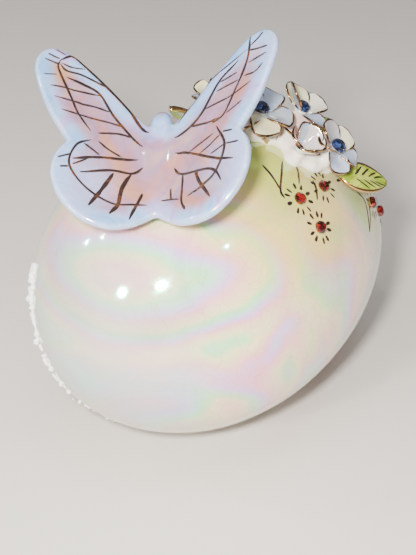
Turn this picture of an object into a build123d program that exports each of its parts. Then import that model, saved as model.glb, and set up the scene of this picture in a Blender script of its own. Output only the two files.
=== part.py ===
"""Egg-shaped porcelain trinket box, lying on its side, with an applied butterfly and flowers.

Millimetres, +Z up, X along the egg from its blunt end to its narrow end.
The origin is on the table, in the middle of the box's flat underside.
"""
import os
from math import asin, cos, degrees, radians, sin, sqrt
from build123d import *

# ---- driving dimensions of the egg -------------------------------------------------------------
BLUNT_LENGTH = 50.0          # from the widest section to the blunt end
NARROW_LENGTH = 55.0         # from the widest section to the narrow end
EGG_RADIUS = 38.5            # at the widest section
WALL = 3.0                   # porcelain wall of the lid
AXIS_HEIGHT = 36.0           # egg's long axis above the table

# ---- where the box opens -----------------------------------------------------------------------
SEAM_HEIGHT = 5.5            # lid's rim above the table, under the belly
DISH_FLOOR = 2.5             # thickness under the dish's hollow
RING_HEIGHT = 4.5            # locating ring above the seam
RING_WALL = 2.0
RING_CLEARANCE = 0.4         # between the locating ring and the lid's mouth

# ---- butterfly ---------------------------------------------------------------------------------
BUTTERFLY_ALONG = -21.7      # middle of its body, along the egg from the widest section
BUTTERFLY_AROUND = 7.0       # degrees round the egg from its top, towards the front
BUTTERFLY_LIFT = 5.3         # middle of its body above the glaze
BUTTERFLY_HEADING = 34.7     # degrees from the egg's long axis towards the back
BUTTERFLY_PITCH = 28.3       # degrees, head higher than tail
BUTTERFLY_BANK = -9.0        # degrees, its left side lower
WING_SPREAD = 25.0           # each wing's rise above the body's plane
WING_THICKNESS = 2.2
BODY_RADIUS = 3.4
HEAD_REACH = 13.4            # head's tip ahead of the body's middle
TAIL_REACH = 12.6            # tail's end behind it
PAD_RADIUS = 5.0             # porcelain pad that joins the butterfly to the egg

# half outline of the wings, as distance ahead of the body's middle and distance from its centre line
FORE_WING = [(8.0, 2.6), (12.7, 8.4), (20.3, 16.4), (25.2, 23.2), (26.0, 26.8), (22.8, 29.8),
             (16.8, 29.0), (8.8, 25.6), (2.2, 20.7)]
HIND_WING = [(2.2, 20.7), (-2.3, 23.3), (-8.7, 23.3), (-15.0, 18.8), (-18.2, 11.0), (-16.4, 4.6),
             (-13.2, 1.2)]

# ---- slip bed and what is set in it ------------------------------------------------------------
BED_ALONG = 9.0
BED_AROUND = 14.0
BED_LENGTH = 34.0
BED_WIDTH = 27.0
BED_THICKNESS = 2.4
PETALS = 5
PETAL_THICKNESS = 1.0
HUB_RADIUS = 2.3
STEM_RADIUS = 1.6            # under each flower, down into the slip
PETAL_HALF_WIDTH = 0.42      # share of the flower's radius
PETAL_ROOT = 0.8             # petal's inner end from the flower's middle
# along the egg, degrees round it, lift above the glaze, radius, cup angle, turn, has a blue stone
FLOWERS = [(4.2, 15.0, 7.0, 7.6, 20.0, 10.0, True),
           (14.5, 20.5, 7.0, 7.2, 20.0, 40.0, True),
           (13.7, 37.0, 6.4, 6.8, 15.0, 65.0, True),
           (7.0, 30.5, 3.8, 4.8, 50.0, 20.0, False),
           (-1.5, 3.0, 7.5, 5.2, 30.0, 0.0, False),
           (8.0, 0.0, 5.5, 5.8, 30.0, 30.0, False)]
# root: along, degrees round, lift; tip: along, degrees round, lift; half width
LEAVES = [((14.0, 45.0, 2.6), (24.5, 55.5, 7.5), 4.2),
          ((18.5, 27.0, 3.0), (26.5, 25.5, 5.2), 2.4),
          ((-4.0, -4.0, 2.6), (-10.5, -1.0, 10.5), 2.6)]
LEAF_THICKNESS = 1.2

# ---- cut-glass stones --------------------------------------------------------------------------
BLUE_RADIUS = 1.9
BLUE_HEIGHT = 1.2
RED_RADIUS = 1.5
RED_HEIGHT = 0.9
STONE_TABLE = 0.6            # flat top as a share of the stone's radius
GLUE_DEPTH = 0.6             # glue under a stone's flat back, down to the curved glaze
# along the egg, degrees round it from the top
RED_STONES = [(-0.2, 43.5), (9.6, 44.5), (0.8, 55.5), (29.7, 62.6), (37.4, 72.5), (36.6, 55.0)]

AXIS = Pos(0, 0, AXIS_HEIGHT)


def egg(inset=0.0):
    """Solid egg, smaller all over by the inset."""
    radius = EGG_RADIUS - inset
    blunt = EllipticalCenterArc((0, 0), BLUNT_LENGTH - inset, radius, start_angle=90, arc_size=90)
    narrow = EllipticalCenterArc((0, 0), NARROW_LENGTH - inset, radius, start_angle=0, arc_size=90)
    middle = Line((inset - BLUNT_LENGTH, 0), (NARROW_LENGTH - inset, 0))
    return AXIS * revolve(make_face([narrow, blunt, middle]), Axis.X, 360)


def slab(low, high):
    """Wide block between two heights."""
    width = 2 * (BLUNT_LENGTH + NARROW_LENGTH)
    return Pos(0, 0, (low + high) / 2) * Box(width, width, high - low)


def level_oval(height, inset, gap=0.0):
    """The level section of the inset egg at a height, drawn in by a gap."""
    share = sqrt(1 - ((AXIS_HEIGHT - height) / (EGG_RADIUS - inset)) ** 2)
    half_width = (EGG_RADIUS - inset) * share - gap
    blunt_half = (BLUNT_LENGTH - inset) * share - gap
    narrow_half = (NARROW_LENGTH - inset) * share - gap
    blunt = EllipticalCenterArc((0, 0), blunt_half, half_width, start_angle=90, arc_size=180)
    narrow = EllipticalCenterArc((0, 0), narrow_half, half_width, start_angle=-90, arc_size=180)
    return make_face([blunt, narrow])


def prism(face, low, high):
    """The face stood up between two heights."""
    return extrude(Pos(0, 0, low) * face, high - low)


def egg_length(along):
    return BLUNT_LENGTH if along < 0 else NARROW_LENGTH


def on_egg(along, around, lift=0.0):
    """Point over the glaze and the outward direction there."""
    radius = EGG_RADIUS * sqrt(1 - (along / egg_length(along)) ** 2)
    turn = radians(around)
    point = Vector(along, -radius * sin(turn), radius * cos(turn))
    outward = Vector(point.X / egg_length(along) ** 2, point.Y / EGG_RADIUS ** 2, point.Z / EGG_RADIUS ** 2)
    outward = outward.normalized()
    return point + Vector(0, 0, AXIS_HEIGHT) + outward * lift, outward


def seat(along, around, lift=0.0, turn=0.0):
    """Location over the glaze: z outward, x along the egg."""
    point, outward = on_egg(along, around, lift)
    along_egg = outward.cross(Vector(1, 0, 0).cross(outward))
    return Plane(origin=point, x_dir=along_egg, z_dir=outward).location * Rot(0, 0, turn)


def largest(shape):
    return max(shape.solids(), key=lambda solid: solid.volume)


def minus(shape, *others):
    for other in others:
        shape = shape - other
    return largest(shape)


def lid_shell():
    return largest((egg() - egg(WALL)) & slab(SEAM_HEIGHT, AXIS_HEIGHT + 2 * EGG_RADIUS))


def base_dish():
    body = egg() & slab(0, SEAM_HEIGHT)
    ring = prism(level_oval(SEAM_HEIGHT, WALL, RING_CLEARANCE), DISH_FLOOR, SEAM_HEIGHT + RING_HEIGHT)
    hollow = prism(level_oval(SEAM_HEIGHT, WALL, RING_CLEARANCE + RING_WALL), DISH_FLOOR,
                   SEAM_HEIGHT + RING_HEIGHT + WALL)
    return largest(body + ring - hollow)


def butterfly_seat():
    """The body's own frame: x towards the head, y towards its left, z out of its back."""
    point, _ = on_egg(BUTTERFLY_ALONG, BUTTERFLY_AROUND, BUTTERFLY_LIFT)
    heading = Rot(0, 0, BUTTERFLY_HEADING) * Rot(0, -BUTTERFLY_PITCH, 0) * Rot(BUTTERFLY_BANK, 0, 0)
    return Pos(point.X, point.Y, point.Z) * heading


def wing(side):
    """Fore and hind wing of one side, in one plate."""
    fore = Spline(*[(x, y) for x, y in FORE_WING])
    hind = Spline(*[(x, y) for x, y in HIND_WING])
    root = Polyline(HIND_WING[-1], (HIND_WING[-1][0], 0), (FORE_WING[0][0], 0), FORE_WING[0])
    plate = extrude(make_face([fore, hind, root]), WING_THICKNESS / 2, both=True)
    plate = Rot(WING_SPREAD, 0, 0) * plate
    return plate if side > 0 else mirror(plate, Plane.XZ)


def butterfly():
    head = EllipticalCenterArc((0, 0), HEAD_REACH, BODY_RADIUS, start_angle=0, arc_size=90)
    tail = EllipticalCenterArc((0, 0), TAIL_REACH, BODY_RADIUS, start_angle=90, arc_size=90)
    body = revolve(make_face([head, tail, Line((-TAIL_REACH, 0), (HEAD_REACH, 0))]), Axis.X, 360)
    return butterfly_seat() * largest(body + wing(1) + wing(-1))


def butterfly_pad(figure, shell):
    """Short post of slip from the glaze up to the butterfly's underside."""
    length = BUTTERFLY_LIFT + WALL
    post = butterfly_seat() * Pos(0, 0, -length / 2) * Cylinder(PAD_RADIUS, length)
    return minus(post, figure, shell)


def slip_bed(shell):
    oval = extrude(Ellipse(BED_LENGTH / 2, BED_WIDTH / 2), EGG_RADIUS / 2, both=True)
    return minus(egg(-BED_THICKNESS) & (seat(BED_ALONG, BED_AROUND) * oval), shell)


def flower(along, around, lift, radius, cup, turn):
    """Five petals round a hub whose stem stands in the slip bed."""
    reach = radius - HUB_RADIUS / 2
    petal = extrude(Ellipse(reach / 2, radius * PETAL_HALF_WIDTH), PETAL_THICKNESS / 2, both=True)
    petal = Rot(0, -cup, 0) * Pos(reach / 2 + PETAL_ROOT, 0, 0) * petal
    head = Cylinder(HUB_RADIUS, PETAL_THICKNESS)
    for index in range(PETALS):
        head = head + Rot(0, 0, index * 360 / PETALS) * petal
    stem = Pos(0, 0, -lift / 2) * Cylinder(STEM_RADIUS, lift)
    top = seat(along, around, lift, turn)
    return top * largest(head + stem), top * Pos(0, 0, PETAL_THICKNESS / 2)


def leaf(root, tip, half_width):
    """Pointed oval plate between its root and its tip."""
    start, outward = on_egg(*root)
    end, _ = on_egg(*tip)
    along = end - start
    length = along.length
    bulge = (length ** 2 / 4 - half_width ** 2) / (2 * half_width)
    angle = degrees(asin(length / 2 / (half_width + bulge)))
    upper = CenterArc((length / 2, -bulge), half_width + bulge, 90 - angle, 2 * angle)
    lower = CenterArc((length / 2, bulge), half_width + bulge, 270 - angle, 2 * angle)
    plate = extrude(make_face([upper, lower]), LEAF_THICKNESS / 2, both=True)
    side = outward.cross(along)
    return Plane(origin=start, x_dir=along, z_dir=along.cross(side)).location * plate


def stone(radius, height, glue):
    """Flat-backed stone with a bevelled crown, its flat back at z = 0."""
    crown = Pos(0, 0, height / 2) * Cone(radius, radius * STONE_TABLE, height)
    if glue:
        crown = crown + Pos(0, 0, -glue / 2) * Cylinder(radius, glue)
    return largest(crown)


def build():
    parts = {}
    egg_solid = egg()
    parts["lid_shell"] = lid_shell()
    parts["base_dish"] = base_dish()
    parts["butterfly"] = minus(butterfly(), egg_solid)
    parts["butterfly_pad"] = butterfly_pad(parts["butterfly"], egg_solid)
    bed = minus(slip_bed(egg_solid), parts["butterfly_pad"], parts["butterfly"])
    parts["slip_bed"] = bed
    grown = [bed, parts["butterfly"], parts["butterfly_pad"]]
    blue = 0
    for index, (along, around, lift, radius, cup, turn, has_stone) in enumerate(FLOWERS, start=1):
        bloom, top = flower(along, around, lift, radius, cup, turn)
        bloom = minus(bloom, egg_solid, *grown)
        if has_stone:
            blue += 1
            gem = top * stone(BLUE_RADIUS, BLUE_HEIGHT, 0)
            bloom = minus(bloom, gem)
            parts[f"blue_stone_{blue}"] = gem
            grown.append(gem)
        parts[f"flower_{index}"] = bloom
        grown.append(bloom)
    for index, (root, tip, half_width) in enumerate(LEAVES, start=1):
        blade = minus(leaf(root, tip, half_width), egg_solid, *grown)
        parts[f"leaf_{index}"] = blade
        grown.append(blade)
    for index, (along, around) in enumerate(RED_STONES, start=1):
        gem = seat(along, around) * stone(RED_RADIUS, RED_HEIGHT, GLUE_DEPTH)
        parts[f"red_stone_{index}"] = minus(gem, egg_solid, *grown)
    return parts


def main():
    os.makedirs("parts", exist_ok=True)
    for name, solid in build().items():
        solid.label = name
        export_step(solid, os.path.join("parts", name + ".step"))


main()
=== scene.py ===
import random
from math import cos, degrees, pi, radians, sin, sqrt

import bmesh
import bpy
from bpy.props import FloatProperty, FloatVectorProperty, IntProperty, PointerProperty
from mathutils import Matrix, Vector, noise
from mathutils.bvhtree import BVHTree
from mathutils.kdtree import KDTree


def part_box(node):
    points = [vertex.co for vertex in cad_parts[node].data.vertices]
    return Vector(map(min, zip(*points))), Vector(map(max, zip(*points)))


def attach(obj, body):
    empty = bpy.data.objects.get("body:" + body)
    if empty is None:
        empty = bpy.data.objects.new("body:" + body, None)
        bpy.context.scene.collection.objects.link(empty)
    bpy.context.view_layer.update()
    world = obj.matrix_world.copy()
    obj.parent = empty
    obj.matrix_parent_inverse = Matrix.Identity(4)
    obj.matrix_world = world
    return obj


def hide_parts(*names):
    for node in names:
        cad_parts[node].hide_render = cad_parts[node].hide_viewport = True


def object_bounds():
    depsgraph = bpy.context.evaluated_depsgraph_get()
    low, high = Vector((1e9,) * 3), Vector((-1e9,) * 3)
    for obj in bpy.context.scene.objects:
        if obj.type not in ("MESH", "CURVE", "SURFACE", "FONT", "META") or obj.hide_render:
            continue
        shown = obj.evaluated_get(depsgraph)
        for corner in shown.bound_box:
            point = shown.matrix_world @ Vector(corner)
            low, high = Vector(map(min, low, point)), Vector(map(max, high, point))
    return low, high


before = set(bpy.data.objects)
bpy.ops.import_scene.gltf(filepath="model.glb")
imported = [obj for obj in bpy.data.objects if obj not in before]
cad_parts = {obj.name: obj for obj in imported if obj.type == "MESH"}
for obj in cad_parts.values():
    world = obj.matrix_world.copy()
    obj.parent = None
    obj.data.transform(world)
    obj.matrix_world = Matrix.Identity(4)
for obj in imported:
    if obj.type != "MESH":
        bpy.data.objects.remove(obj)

bl_info = {
    "name": "Egg trinket box",
    "version": (1, 0, 0),
    "blender": (4, 5, 0),
    "location": "View3D > Sidebar > Trinket",
    "description": "Builds an egg-shaped porcelain trinket box with a butterfly, flowers and glass stones",
    "category": "Object",
}

MM = 0.001
CAD_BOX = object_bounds()
LID_LOW, LID_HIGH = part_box("lid_shell")
DISH_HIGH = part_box("base_dish")[1]
BLUNT_LENGTH = -LID_LOW.x
NARROW_LENGTH = LID_HIGH.x
EGG_RADIUS = round(LID_HIGH.y, 4)
EGG_CENTRE = Vector((0, 0, LID_HIGH.z - EGG_RADIUS))
SEAM = LID_LOW.z
RIM_SHARE = 0.35             # how far a rim's rounding draws it in
PETALS = 5
FACETS = 16                  # round a cut stone
DASHES = 10                  # round a red stone

# Butterfly's outline: millimetres ahead of the body's middle, and out from its centre line.
FORE_WING = [(7.5, 1.5), (12.5, 8.0), (17.0, 12.5), (21.0, 17.0), (24.3, 21.5), (26.0, 25.5), (25.0, 28.6),
             (21.5, 30.1), (16.5, 29.0), (9.0, 25.7), (2.0, 20.8)]
HIND_WING = [(2.0, 20.8), (-2.0, 23.2), (-7.0, 23.6), (-12.5, 21.3), (-16.7, 16.6), (-18.1, 11.0),
             (-16.8, 5.6), (-13.4, 0.0)]

# Brush strokes on each wing, as a width in millimetres and points on the wing in the same terms.
LEFT_VEINS = [
    (0.62, [(7, 3), (8.5, 5.3), (12.5, 8.4), (17.2, 13.2), (22.3, 19.2), (24.5, 22.4), (23, 24.9)]),
    (0.62, [(3.3, 4.4), (5.6, 7.1), (10.2, 11.4), (15.7, 15.2), (17.6, 19.2), (18.7, 23)]),
    (0.45, [(17.3, 12.8), (19.9, 19.4), (20.5, 23.2), (22, 24.8)]),
    (0.5, [(23, 24.9), (20.8, 25.1), (15.7, 22.7), (12.9, 21.2), (9.7, 19.6), (5.4, 16.3)]),
    (0.45, [(15.5, 26.4), (15.7, 22.7), (15.3, 14.8)]),
    (0.45, [(12.7, 25.3), (12.4, 17), (11.3, 12.1)]),
    (0.45, [(9.6, 23.3), (9, 15), (7.9, 9.1)]),
    (0.5, [(5.3, 14.7), (6, 10.6), (5.6, 7.1)]),
    (0.35, [(22.3, 24.6), (21.6, 22.1), (21.7, 19.1)]),
    (0.3, [(18.2, 28.2), (18.9, 25.3)]),
    (0.4, [(22.5, 28.4), (21.9, 25)]),
    (0.4, [(24.1, 27.8), (23.3, 25)]),
    (0.35, [(25.6, 26.3), (24.6, 23.8)]),
    (0.6, [(0.1, 5.2), (-0.9, 13.7), (-2.7, 19.6)]),
    (0.45, [(0.2, 8.9), (1.5, 11.9), (3.1, 14.5)]),
    (0.45, [(-0.4, 13.8), (1.7, 17.6)]),
    (0.5, [(3, 16.1), (0.8, 19.2), (-4.3, 20.2), (-9.1, 16.2), (-12.1, 10.3), (-11.9, 5.9), (-11.5, 2.1)]),
    (0.6, [(-1.9, 3.9), (-3.6, 6.1), (-3.7, 11), (-5.6, 17.7)]),
    (0.8, [(-3.9, 6.5), (-7.9, 8.2), (-12.3, 8.7), (-15, 10.5)]),
    (0.8, [(-4.3, 10.4), (-8.3, 12.2), (-13.8, 15.1)]),
    (0.6, [(-8.6, 3.5), (-11.1, 4.4), (-15.9, 6.2)]),
    (0.4, [(-3.2, 22.8), (-1.6, 20.1)]),
    (0.4, [(-5.4, 22.1), (-4.8, 20.2)]),
    (0.4, [(-4.1, 19.5), (-2, 16.4)]),
]
RIGHT_VEINS = [
    (0.62, [(5.1, 4.2), (7.1, 8.1), (10.2, 11.6), (16.6, 15.7), (20.2, 20.5)]),
    (0.4, [(8.9, 4.9), (14.3, 9.6), (17.9, 13.6), (22.2, 22.9)]),
    (0.55, [(6, 13.8), (7.4, 17.1), (14.5, 20.5), (20.1, 22.9), (25.2, 23.7)]),
    (0.55, [(7.1, 8.1), (6.7, 12.8), (6.7, 15.7)]),
    (0.45, [(10.2, 11.6), (11.6, 19.1), (13.1, 23.9)]),
    (0.4, [(13.9, 14.9), (15.1, 20.4)]),
    (0.4, [(16.1, 15.8), (17.2, 20.1)]),
    (0.4, [(7.2, 17.6), (8.9, 21.8)]),
    (0.45, [(15.5, 21.9), (15.1, 25), (16.5, 27.1)]),
    (0.45, [(18.6, 23), (18.9, 28)]),
    (0.45, [(21.7, 23.4), (20.8, 28.2)]),
    (0.4, [(22.8, 23.8), (24.1, 25.7), (25.2, 26.9)]),
    (0.6, [(1.2, 4.5), (0.5, 7.7), (-3.4, 14.7), (-5.9, 20.3)]),
    (0.45, [(0.5, 7.7), (3.2, 14.2)]),
    (0.45, [(-0.9, 10.8), (1.9, 16.2)]),
    (0.65, [(4.7, 15.1), (-1.2, 17.7), (-7, 15.6), (-9.6, 11.7), (-11, 8.4)]),
    (0.4, [(-2, 13.7), (-1.1, 17.5)]),
    (0.4, [(2.5, 16.9), (1.7, 19.7)]),
    (0.4, [(-1.1, 18), (-2, 21.5)]),
    (0.6, [(-2.6, 4.2), (-4.6, 6.3), (-5.6, 13), (-7.3, 15.6), (-10.2, 17.2)]),
    (0.75, [(-5, 10), (-8.2, 11.2), (-13.4, 14.5)]),
    (0.55, [(-4.7, 6.6), (-11.4, 6.8), (-14.6, 8.2)]),
    (0.4, [(-7.7, 3.6), (-10.9, 4.1)]),
    (0.4, [(-10.4, 1.3), (-10.7, 4.1), (-11.2, 6.3)]),
]

# Pale patches on the wings: millimetres ahead of the body's middle, and to its left.
PALE_PATCHES = [(-9, 17), (-6, -20), (21, -27)]

# Brush strokes on the egg: width, then points as millimetres along the egg and degrees round it.
EGG_STROKES = [
    (0.7, [(-2.0, 26.6), (-2.4, 31.5), (-3.4, 37.4)]),
    (0.7, [(3.9, 29.2), (0.8, 32.5), (-3.4, 37.4), (-4.0, 40.6)]),
    (0.55, [(7.2, 30.9), (5.6, 35.0), (2.8, 39.2)]),
    (0.65, [(7.7, 40.5), (6.9, 43.5), (4.8, 47.3)]),
    (0.7, [(19.8, 47.0), (23.2, 54.5), (24.7, 60.0), (21.2, 70.4)]),
    (0.6, [(26.8, 61.5), (25.0, 65.5), (21.2, 70.4)]),
    (0.9, [(16.0, 45.5), (19.8, 47.0), (22.4, 52.5)]),
    (0.7, [(9.5, 32.5), (11.5, 36.5), (11.5, 41.0)]),
]
RED_STONES = [(-0.2, 43.5), (9.6, 44.5), (0.8, 55.5), (29.7, 62.6), (37.4, 72.5), (36.6, 55.0)]

# Flowers: along, degrees round, lift above the glaze, radius, turn in degrees, and for each petal
# how far it rises in degrees and its tint, from cream (0) through pink (0.5) to blue grey (1).
FLOWERS = [
    (4.2, 15.0, 7.0, 8.6, 232, ((-14, 0.0), (-4, 0.85), (16, 0.9), (22, 0.95), (-18, 0.2))),
    (14.5, 20.5, 7.0, 8.0, 205, ((-30, 0.5), (-6, 0.95), (14, 0.12), (22, 0.03), (46, 0.85))),
    (13.7, 37.0, 6.4, 7.4, 230, ((-12, 0.95), (-4, 0.9), (12, 0.06), (22, 0.75), (14, 0.4))),
    (7.0, 30.5, 3.8, 6.6, 217, ((34, 0.8), (46, 0.12), (58, 0.7), (58, 0.9), (42, 0.5))),
    (-1.5, 3.0, 7.5, 5.8, 95, ((38, 0.0), (20, 0.9), (0, 0.1), (0, 0.0), (10, 0.5))),
    (8.0, 0.0, 5.5, 6.4, 217, ((-10, 0.0), (10, 0.1), (24, 0.6), (20, 0.0), (30, 0.9))),
]
# Leaves: root and tip as along, degrees round and lift; half width.
LEAVES = [((14.0, 45.0, 2.6), (24.5, 55.5, 7.5), 4.2),
          ((18.5, 27.0, 3.0), (26.5, 25.5, 5.2), 2.4),
          ((-4.0, -4.0, 2.6), (-10.5, -1.0, 10.5), 2.6)]
# Lumps of slip that the flowers are pressed into: along, degrees round, lift, radius.
LUMPS = [(11.5, 34.0, 0.4, 3.8), (9.5, 26.5, 0.6, 3.2), (5.0, 14.5, 0.6, 3.4), (8.5, 18.5, 0.8, 4.4),
         (14.0, 25.0, 0.8, 5.0), (0.0, 9.0, 0.2, 3.4), (5.0, 5.0, 0.4, 5.0), (12.0, 10.0, 0.4, 5.0),
         (17.0, 33.0, 0.2, 3.6), (15.5, 37.5, 0.3, 3.0), (-2.0, 4.0, 0.2, 3.2), (0.0, -1.0, 0.2, 4.0),
         (8.5, -1.5, 0.2, 4.4), (18.0, 22.0, 0.2, 3.6), (10.0, 23.5, 0.9, 4.0), (10.8, 30.5, 0.6, 3.4)]

# Bead of slip down the blunt end: millimetres from the egg's middle, then dropped onto the glaze.
BEAD_ROUTE = [(-43.5, 23, 13), (-44.5, 17, 2), (-42, 9, -12), (-33, 0.5, -26.5)]

# Lamps aimed at the egg: azimuth and elevation in degrees, size in metres, watts.
SPOTLIGHTS = [("key", -90, 29, 0.10, 5.0), ("back_left", -151, 32, 0.03, 0.8),
              ("back_high", -144, 43, 0.02, 0.5), ("overhead", -85, 71, 0.02, 0.6),
              ("front_high", -3, 49, 0.02, 0.6)]
# Wide soft lamps that the glaze doesn't mirror: azimuth, elevation, watts, colour.
SOFTBOXES = [("window", -110, 50, 1.7, (0.88, 0.94, 1.0)), ("fill", -10, 35, 0.6, (1.0, 0.95, 0.88)),
             ("ceiling", 20, 80, 2.2, (1.0, 0.98, 0.95))]


class EggSettings(bpy.types.PropertyGroup):
    wall: FloatProperty(name="Wall", description="Thickness of the porcelain", default=3 * MM, unit="LENGTH")
    rim: FloatProperty(name="Rim", description="Rounding of the rims", default=0.5 * MM, unit="LENGTH")
    segments: IntProperty(name="Segments", description="Faces round the egg", default=144)
    dish_floor: FloatProperty(name="Dish floor", description="Thickness under the dish's hollow",
                              default=2.5 * MM, unit="LENGTH")
    ring_wall: FloatProperty(name="Ring wall", description="Thickness of the locating ring",
                             default=2 * MM, unit="LENGTH")
    ring_gap: FloatProperty(name="Ring gap", description="Clearance inside the lid's mouth",
                            default=0.4 * MM, unit="LENGTH")


class ButterflySettings(bpy.types.PropertyGroup):
    along: FloatProperty(name="Along", description="Body's middle from the egg's widest section",
                         default=-21.7 * MM, unit="LENGTH")
    around: FloatProperty(name="Around", description="Angle round the egg from its top",
                          default=radians(7.0), unit="ROTATION")
    lift: FloatProperty(name="Lift", description="Body's middle above the glaze",
                        default=5.3 * MM, unit="LENGTH")
    heading: FloatProperty(name="Heading", description="Turn from the egg's long axis",
                           default=radians(34.7), unit="ROTATION")
    pitch: FloatProperty(name="Pitch", description="Head higher than tail",
                         default=radians(28.3), unit="ROTATION")
    bank: FloatProperty(name="Bank", description="Roll about the body",
                        default=radians(-9.0), unit="ROTATION")
    spread: FloatProperty(name="Spread", description="Rise of each wing",
                          default=radians(25.0), unit="ROTATION")
    thickness: FloatProperty(name="Thickness", description="Wing thickness",
                             default=2.2 * MM, unit="LENGTH")
    voxel: FloatProperty(name="Voxel", description="Grain of the moulded mesh",
                         default=0.42 * MM, unit="LENGTH")
    rim: FloatProperty(name="Rim", description="Rise of the wings' rolled rim",
                       default=0.35 * MM, unit="LENGTH")


class FlowerSettings(bpy.types.PropertyGroup):
    petal_thickness: FloatProperty(name="Petal thickness", description="Thickness of a petal",
                                   default=0.8 * MM, unit="LENGTH")
    petal_grid: IntProperty(name="Petal grid", description="Faces along a petal", default=10)
    hub: FloatProperty(name="Hub", description="Radius of a flower's middle", default=1.7 * MM, unit="LENGTH")
    blue_stone: FloatProperty(name="Blue stone", description="Radius of a blue stone",
                              default=1.9 * MM, unit="LENGTH")
    red_stone: FloatProperty(name="Red stone", description="Radius of a red stone",
                             default=1.5 * MM, unit="LENGTH")


class StageSettings(bpy.types.PropertyGroup):
    distance: FloatProperty(name="Distance", description="Camera to the egg's middle",
                            default=0.3, unit="LENGTH")
    azimuth: FloatProperty(name="Azimuth", description="Camera's turn from the front",
                           default=radians(-52.5), unit="ROTATION")
    elevation: FloatProperty(name="Elevation", description="Camera above the horizon",
                             default=radians(32.0), unit="ROTATION")
    drop: FloatProperty(name="Drop", description="Camera below the line to the egg's middle",
                        default=2.9 * MM, unit="LENGTH")
    lens: FloatProperty(name="Lens", description="Focal length", default=77.2)
    floor_colour: FloatVectorProperty(name="Floor", description="Colour of the floor",
                                      default=(0.62, 0.59, 0.55), size=3, subtype="COLOR")


# ---- places on the egg --------------------------------------------------------------------------
def egg_scale(direction_x):
    return NARROW_LENGTH if direction_x > 0 else BLUNT_LENGTH


def on_egg(along, around, lift=0.0):
    """Point over the glaze from millimetres along and degrees round, and the outward direction there."""
    x = along * MM
    length = egg_scale(x)
    radius = EGG_RADIUS * sqrt(1 - (x / length) ** 2)
    turn = radians(around)
    point = Vector((x, -radius * sin(turn), radius * cos(turn)))
    outward = Vector((x / length ** 2, point.y / EGG_RADIUS ** 2, point.z / EGG_RADIUS ** 2)).normalized()
    return EGG_CENTRE + point + outward * lift * MM, outward


def seat(along, around, lift=0.0, turn=0.0):
    """Matrix over the glaze: z outward, x along the egg."""
    point, outward = on_egg(along, around, lift)
    side = outward.cross(Vector((1, 0, 0))).normalized()
    forward = side.cross(outward)
    axes = Matrix((forward, side, outward)).transposed().to_4x4()
    return Matrix.Translation(point) @ axes @ Matrix.Rotation(radians(turn), 4, "Z")


def down(place):
    """The point of the glaze under a place, and the outward direction there."""
    offset = place - EGG_CENTRE
    length = egg_scale(offset.x)
    size = Vector((offset.x / length, offset.y / EGG_RADIUS, offset.z / EGG_RADIUS)).length
    point = offset / size
    outward = Vector((point.x / length ** 2, point.y / EGG_RADIUS ** 2, point.z / EGG_RADIUS ** 2))
    return EGG_CENTRE + point, outward.normalized()


def butterfly_seat(own):
    """The butterfly's own frame: x towards its head, y towards its left, z out of its back."""
    point = on_egg(own.along / MM, degrees(own.around), own.lift / MM)[0]
    heading = Matrix.Rotation(own.heading, 4, "Z")
    pitch = Matrix.Rotation(-own.pitch, 4, "Y")
    bank = Matrix.Rotation(own.bank, 4, "X")
    return Matrix.Translation(point) @ heading @ pitch @ bank


def through(points, steps=6):
    """Points on a smooth line through the given ones."""
    known = [Vector(point) for point in points]
    known = [known[0] * 2 - known[1], *known, known[-1] * 2 - known[-2]]
    line = []
    for index in range(1, len(known) - 2):
        before, start, end, after = known[index - 1:index + 3]
        for step in range(steps):
            t = step / steps
            pull = (end - before) / 2 * (t ** 3 - 2 * t ** 2 + t) + (after - start) / 2 * (t ** 3 - t ** 2)
            line.append(start * (2 * t ** 3 - 3 * t ** 2 + 1) + end * (3 * t ** 2 - 2 * t ** 3) + pull)
    line.append(known[-2])
    return line


# ---- meshes and pieces --------------------------------------------------------------------------
def link(name, mesh, material, slot, body, *nodes):
    """Puts a finished mesh in the scene as a named piece of the box."""
    mesh.name = name
    piece = bpy.data.objects.new(name, mesh)
    bpy.context.scene.collection.objects.link(piece)
    mesh.materials.clear()
    mesh.materials.append(material)
    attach(piece, body)
    if nodes:
        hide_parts(*nodes)
    return piece


def to_mesh(bm, smooth=True):
    bmesh.ops.recalc_face_normals(bm, faces=bm.faces)
    mesh = bpy.data.meshes.new("mesh")
    bm.to_mesh(mesh)
    bm.free()
    mesh.polygons.foreach_set("use_smooth", [smooth] * len(mesh.polygons))
    return mesh


def evaluated(source, voxel=None):
    """The mesh of a mesh or curve, remeshed if a voxel size is given."""
    helper = bpy.data.objects.new("helper", source)
    bpy.context.scene.collection.objects.link(helper)
    if voxel:
        remesh = helper.modifiers.new("Remesh", "REMESH")
        remesh.mode = "VOXEL"
        remesh.voxel_size = voxel
    graph = bpy.context.evaluated_depsgraph_get()
    mesh = bpy.data.meshes.new_from_object(helper.evaluated_get(graph))
    bpy.data.objects.remove(helper)
    return mesh


def softened(mesh, rounds):
    """The mesh as a bmesh, smoothed so that joined forms melt into each other."""
    bm = bmesh.new()
    bm.from_mesh(mesh)
    for _ in range(rounds):
        bmesh.ops.smooth_vert(bm, verts=bm.verts, factor=0.5, use_axis_x=True, use_axis_y=True,
                              use_axis_z=True)
    return bm


def egg_form(bm, inset, segments):
    """Egg round its long axis, drawn in by the inset."""
    made = bmesh.ops.create_uvsphere(bm, u_segments=segments, v_segments=segments * 2 // 3, radius=1,
                                     matrix=Matrix.Rotation(pi / 2, 4, "Y"))
    for vert in made["verts"]:
        length = egg_scale(vert.co.x) - inset
        vert.co = EGG_CENTRE + Vector((vert.co.x * length, vert.co.y * (EGG_RADIUS - inset),
                                       vert.co.z * (EGG_RADIUS - inset)))


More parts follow.
